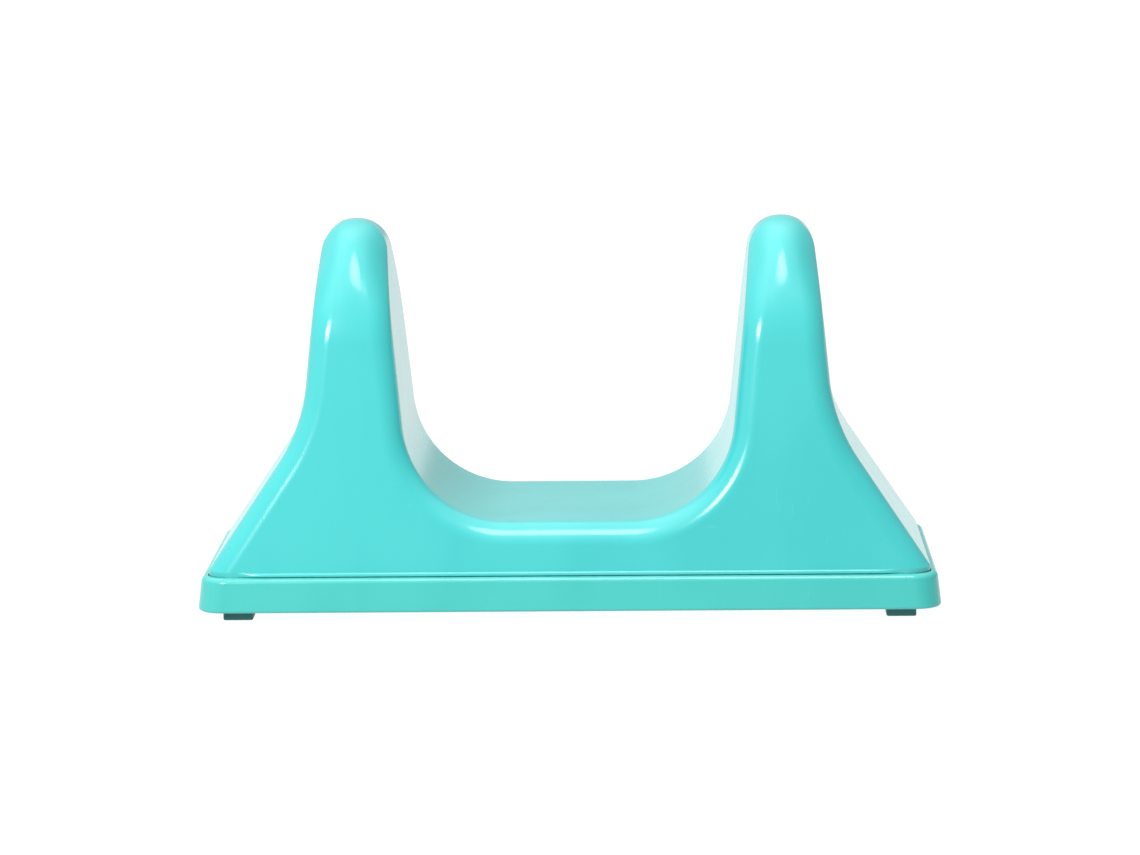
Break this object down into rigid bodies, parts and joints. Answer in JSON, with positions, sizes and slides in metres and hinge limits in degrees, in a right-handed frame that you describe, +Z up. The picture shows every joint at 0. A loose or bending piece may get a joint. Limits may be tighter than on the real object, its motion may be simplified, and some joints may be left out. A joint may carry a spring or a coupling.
{
  "type": "massage saddle",
  "caption": "Rigid two-peaked massage saddle: a hollow moulded shell with a rounded valley between tall peaks, screwed onto a base tray with anti-slip feet.",
  "frame": {"origin": "under the middle of the saddle, at the level of the undersides of the feet", "axes": "+X along the length from the left peak to the right peak, -Y towards the front, +Z up"},
  "size_m": [0.295, 0.125, 0.154],
  "materials": {
    "shell_plastic": "glossy injection-moulded turquoise",
    "tray_plastic": "glossy injection-moulded turquoise",
    "screw_steel": "zinc-plated",
    "foot_rubber": "matt dark teal rubber",
    "adhesive": "off-white foam tape"
  },
  "bodies": {
    "root": {"upper_shell": "shell_plastic", "base_tray": "tray_plastic", "screw_corner_front_left": "screw_steel", "screw_corner_front_right": "screw_steel", "screw_corner_back_left": "screw_steel", "screw_corner_back_right": "screw_steel", "screw_peak_front_left": "screw_steel", "screw_peak_front_right": "screw_steel", "screw_peak_back_left": "screw_steel", "screw_peak_back_right": "screw_steel", "screw_valley_front": "screw_steel", "screw_valley_back": "screw_steel", "foot_pad_front_left": "foot_rubber", "foot_pad_front_right": "foot_rubber", "foot_pad_back_left": "foot_rubber", "foot_pad_back_right": "foot_rubber", "adhesive_pad_front_left": "adhesive", "adhesive_pad_front_right": "adhesive", "adhesive_pad_back_left": "adhesive", "adhesive_pad_back_right": "adhesive"}
  },
  "joints": []
}
